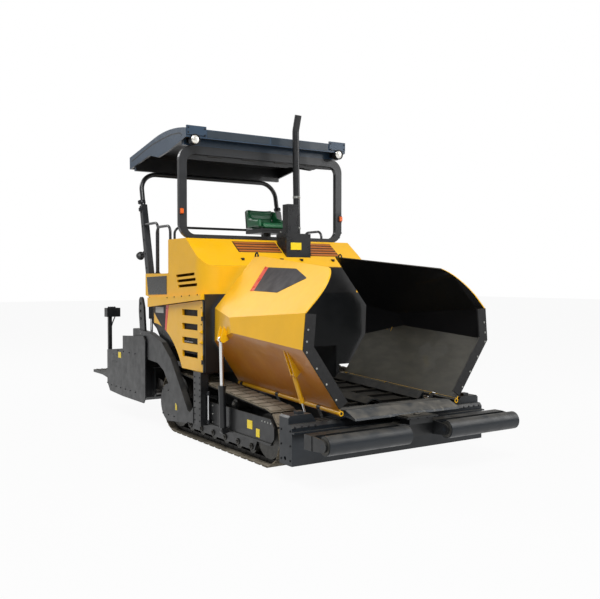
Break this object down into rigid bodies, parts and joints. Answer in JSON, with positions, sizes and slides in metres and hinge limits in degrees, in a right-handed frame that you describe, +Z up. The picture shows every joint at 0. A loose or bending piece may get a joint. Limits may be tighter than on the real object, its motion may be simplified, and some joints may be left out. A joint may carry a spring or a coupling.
{
  "type": "asphalt paver",
  "caption": "Tracked asphalt paver: folding hopper wings, conveyors, engine hood, canopied deck, augers and a towed extending screed.",
  "frame": {"origin": "on the ground, under the middle of the machine's overall box", "axes": "+Z up; -Y to the hopper, +Y to the screed; +X to the left side of a driver who looks at the hopper"},
  "size_m": [2.5, 6.2799, 4.0091],
  "materials": {
    "yellow_paint": "amber-yellow machine paint, semi-gloss",
    "dark_paint": "dark charcoal paint, semi-matt",
    "slate_paint": "dark slate paint, dusty",
    "canopy_paint": "slate blue-grey moulded roof skin",
    "track_steel": "worn dark steel",
    "chrome": "hard chrome plated rod",
    "rubber_sheet": "black rubber sheet",
    "seat_green": "green vinyl cover",
    "lamp_glass": "clear lamp lens",
    "engine_iron": "cast iron, unfinished"
  },
  "bodies": {
    "tractor": {"auger_bracket": "dark_paint", "body_ledges": "yellow_paint", "bumper_beam": "slate_paint", "canopy": "canopy_paint", "canopy_lamps": "lamp_glass", "chassis": "dark_paint", "control_console": "dark_paint", "conveyor_covers": "dark_paint", "conveyor_left": "track_steel", "conveyor_right": "track_steel", "conveyor_shafts": "track_steel", "drive_guards": "dark_paint", "engine_block": "engine_iron", "engine_hood": "yellow_paint", "exhaust_stack": "dark_paint", "front_hoop": "dark_paint", "handrails": "dark_paint", "hopper_apron": "slate_paint", "hopper_rear_wall": "dark_paint", "operator_deck": "dark_paint", "rear_hoop": "dark_paint", "side_boxes": "yellow_paint", "tank_body": "dark_paint", "tow_columns": "dark_paint", "track_frame_left": "dark_paint", "track_frame_right": "dark_paint", "track_left": "track_steel", "track_right": "track_steel", "track_wheels": "track_steel"},
    "wing_left": {"wing_left": "yellow_paint", "wing_flap_left": "rubber_sheet"},
    "wing_ram_barrel_left": {"wing_ram_barrel_left": "dark_paint"},
    "wing_ram_rod_left": {"wing_ram_rod_left": "chrome"},
    "wing_stay_barrel_left": {"wing_stay_barrel_left": "yellow_paint"},
    "wing_stay_rod_left": {"wing_stay_rod_left": "chrome"},
    "side_door_left": {"side_door_left": "yellow_paint"},
    "push_roller_left": {"push_roller_left": "slate_paint"},
    "auger_left": {"auger_left": "track_steel"},
    "screed_extension_left": {"screed_extension_left": "dark_paint"},
    "lift_ram_barrel_left": {"lift_ram_barrel_left": "dark_paint"},
    "lift_ram_rod_left": {"lift_ram_rod_left": "chrome"},
    "wing_right": {"wing_right": "yellow_paint", "wing_flap_right": "rubber_sheet"},
    "wing_ram_barrel_right": {"wing_ram_barrel_right": "dark_paint"},
    "wing_ram_rod_right": {"wing_ram_rod_right": "chrome"},
    "wing_stay_barrel_right": {"wing_stay_barrel_right": "yellow_paint"},
    "wing_stay_rod_right": {"wing_stay_rod_right": "chrome"},
    "side_door_right": {"side_door_right": "yellow_paint"},
    "push_roller_right": {"push_roller_right": "slate_paint"},
    "auger_right": {"auger_right": "track_steel"},
    "screed_extension_right": {"screed_extension_right": "dark_paint"},
    "lift_ram_barrel_right": {"lift_ram_barrel_right": "dark_paint"},
    "lift_ram_rod_right": {"lift_ram_rod_right": "chrome"},
    "roller_beam": {"roller_beam": "slate_paint"},
    "seat": {"seat_base": "dark_paint", "seat_cushion": "seat_green"},
    "screed": {"screed_main": "dark_paint", "tow_arm_left": "dark_paint", "tow_arm_right": "dark_paint"}
  },
  "joints": [
    {"name": "wing_swing_left", "type": "hinge", "parent": "tractor", "child": "wing_left", "pos_m": [0.757, -2.68, 0.64], "axis": [0, 0.9992, 0.0401], "range_deg": [0, 46]},
    {"name": "wing_ram_swing_left", "type": "hinge", "parent": "tractor", "child": "wing_ram_barrel_left", "pos_m": [1.192, -1.08, 0.262], "axis": [0, 1, 0], "range_deg": [0, 28.7]},
    {"name": "wing_ram_stroke_left", "type": "slide", "parent": "wing_ram_barrel_left", "child": "wing_ram_rod_left", "axis": [0.0228, 0, 0.9997], "range_m": [-0.427, 0]},
    {"name": "wing_stay_swing_left", "type": "hinge", "parent": "tractor", "child": "wing_stay_rod_left", "pos_m": [0.84, -2.31, 0.36], "axis": [0, 1, 0], "range_deg": [0, 31.1]},
    {"name": "wing_stay_stroke_left", "type": "slide", "parent": "wing_stay_rod_left", "child": "wing_stay_barrel_left", "axis": [0.3251, 0, 0.9457], "range_m": [-0.187, 0]},
    {"name": "side_door_swing_left", "type": "hinge", "parent": "tractor", "child": "side_door_left", "pos_m": [1.209, -0.6, 1.2], "axis": [0, 0, -1], "range_deg": [0, 80]},
    {"name": "screed_extension_slide_left", "type": "slide", "parent": "screed", "child": "screed_extension_left", "axis": [1, 0, 0], "range_m": [0, 0.85]},
    {"name": "lift_ram_swing_left", "type": "hinge", "parent": "tractor", "child": "lift_ram_barrel_left", "pos_m": [1.085, 1.165, 1.88], "axis": [1, 0, 0], "range_deg": [0, 3.6]},
    {"name": "lift_ram_stroke_left", "type": "slide", "parent": "lift_ram_barrel_left", "child": "lift_ram_rod_left", "axis": [0, 0, -1], "range_m": [0, 0.152]},
    {"name": "push_roller_spin_left", "type": "hinge", "parent": "roller_beam", "child": "push_roller_left", "pos_m": [0.733, -3.05, 0.445], "axis": [1, 0, 0], "continuous": true},
    {"name": "auger_spin_left", "type": "hinge", "parent": "tractor", "child": "auger_left", "pos_m": [0.6, 0.985, 0.44], "axis": [1, 0, 0], "continuous": true},
    {"name": "wing_swing_right", "type": "hinge", "parent": "tractor", "child": "wing_right", "pos_m": [-0.757, -2.68, 0.64], "axis": [0, -0.9992, -0.0401], "range_deg": [0, 46]},
    {"name": "wing_ram_swing_right", "type": "hinge", "parent": "tractor", "child": "wing_ram_barrel_right", "pos_m": [-1.192, -1.08, 0.262], "axis": [0, -1, 0], "range_deg": [0, 28.7]},
    {"name": "wing_ram_stroke_right", "type": "slide", "parent": "wing_ram_barrel_right", "child": "wing_ram_rod_right", "axis": [-0.0228, 0, 0.9997], "range_m": [-0.427, 0]},
    {"name": "wing_stay_swing_right", "type": "hinge", "parent": "tractor", "child": "wing_stay_rod_right", "pos_m": [-0.84, -2.31, 0.36], "axis": [0, -1, 0], "range_deg": [0, 31.1]},
    {"name": "wing_stay_stroke_right", "type": "slide", "parent": "wing_stay_rod_right", "child": "wing_stay_barrel_right", "axis": [-0.3251, 0, 0.9457], "range_m": [-0.187, 0]},
    {"name": "side_door_swing_right", "type": "hinge", "parent": "tractor", "child": "side_door_right", "pos_m": [-1.209, -0.6, 1.2], "axis": [0, 0, 1], "range_deg": [0, 80]},
    {"name": "screed_extension_slide_right", "type": "slide", "parent": "screed", "child": "screed_extension_right", "axis": [-1, 0, 0], "range_m": [0, 0.85]},
    {"name": "lift_ram_swing_right", "type": "hinge", "parent": "tractor", "child": "lift_ram_barrel_right", "pos_m": [-1.085, 1.165, 1.88], "axis": [1, 0, 0], "range_deg": [0, 3.6]},
    {"name": "lift_ram_stroke_right", "type": "slide", "parent": "lift_ram_barrel_right", "child": "lift_ram_rod_right", "axis": [0, 0, -1], "range_m": [0, 0.152]},
    {"name": "push_roller_spin_right", "type": "hinge", "parent": "roller_beam", "child": "push_roller_right", "pos_m": [-0.733, -3.05, 0.445], "axis": [1, 0, 0], "continuous": true},
    {"name": "auger_spin_right", "type": "hinge", "parent": "tractor", "child": "auger_right", "pos_m": [-0.6, 0.985, 0.44], "axis": [1, 0, 0], "continuous": true},
    {"name": "roller_beam_swing", "type": "hinge", "parent": "tractor", "child": "roller_beam", "pos_m": [0, -2.69, 0.445], "axis": [0, 0, 1], "range_deg": [-4, 4]},
    {"name": "seat_swivel", "type": "hinge", "parent": "tractor", "child": "seat", "pos_m": [0.465, 0.75, 2.3], "axis": [0, 0, 1], "range_deg": [-90, 90]},
    {"name": "screed_lift", "type": "hinge", "parent": "tractor", "child": "screed", "pos_m": [0, -0.33, 0.3], "axis": [-1, 0, 0], "range_deg": [0, 5.5]}
  ],
  "couplings": [
    {"joint": "wing_ram_swing_left", "follows": "wing_swing_left", "ratio": 0.6202},
    {"joint": "wing_ram_stroke_left", "follows": "wing_swing_left", "m_per_rad": -0.52957},
    {"joint": "wing_stay_swing_left", "follows": "wing_swing_left", "ratio": 0.6719},
    {"joint": "wing_stay_stroke_left", "follows": "wing_swing_left", "m_per_rad": -0.23089},
    {"joint": "lift_ram_swing_left", "follows": "screed_lift", "ratio": 0.6104},
    {"joint": "lift_ram_stroke_left", "follows": "screed_lift", "m_per_rad": 1.5447},
    {"joint": "wing_ram_swing_right", "follows": "wing_swing_right", "ratio": 0.6202},
    {"joint": "wing_ram_stroke_right", "follows": "wing_swing_right", "m_per_rad": -0.52957},
    {"joint": "wing_stay_swing_right", "follows": "wing_swing_right", "ratio": 0.6719},
    {"joint": "wing_stay_stroke_right", "follows": "wing_swing_right", "m_per_rad": -0.23089},
    {"joint": "lift_ram_swing_right", "follows": "screed_lift", "ratio": 0.6104},
    {"joint": "lift_ram_stroke_right", "follows": "screed_lift", "m_per_rad": 1.5447}
  ]
}
